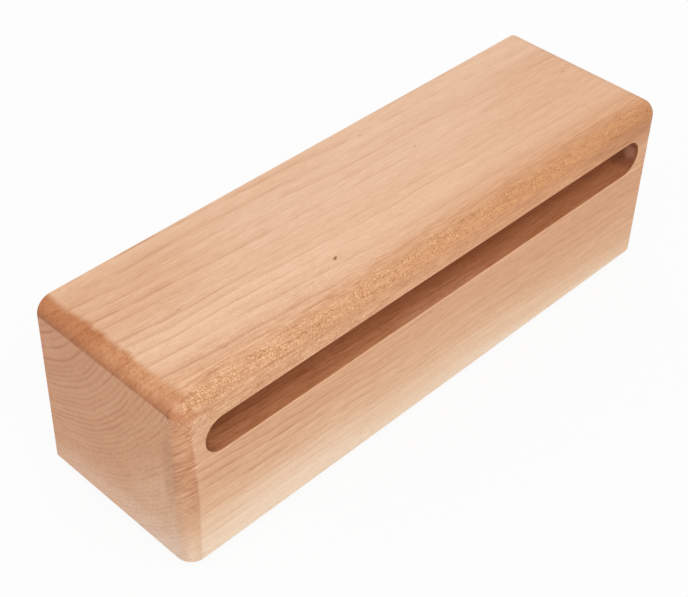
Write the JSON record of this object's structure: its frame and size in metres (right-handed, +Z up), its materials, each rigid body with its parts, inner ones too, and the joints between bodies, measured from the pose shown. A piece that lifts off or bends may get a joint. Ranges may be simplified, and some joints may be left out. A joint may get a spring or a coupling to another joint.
{
  "type": "woodblock",
  "caption": "Oblong hardwood percussion block with a round-ended resonance slot along its front, rounded playing edges and small rubber feet.",
  "frame": {"origin": "on the table, under the middle of the block, in the plane of the feet's treads", "axes": "+X along the block's length to the right as the player sees the slot, +Y from the slot towards the back, +Z up to the struck top"},
  "size_m": [0.21, 0.0616, 0.0644],
  "materials": {
    "maple": "sanded and oiled, satin",
    "foot_rubber": "matt moulded",
    "washer_steel": "zinc plated",
    "screw_steel": "zinc plated"
  },
  "bodies": {
    "root": {"maple_block": "maple", "rubber_foot_front_left": "foot_rubber", "rubber_foot_front_right": "foot_rubber", "rubber_foot_back_left": "foot_rubber", "rubber_foot_back_right": "foot_rubber", "foot_washers": "washer_steel", "foot_screws": "screw_steel"}
  },
  "joints": []
}
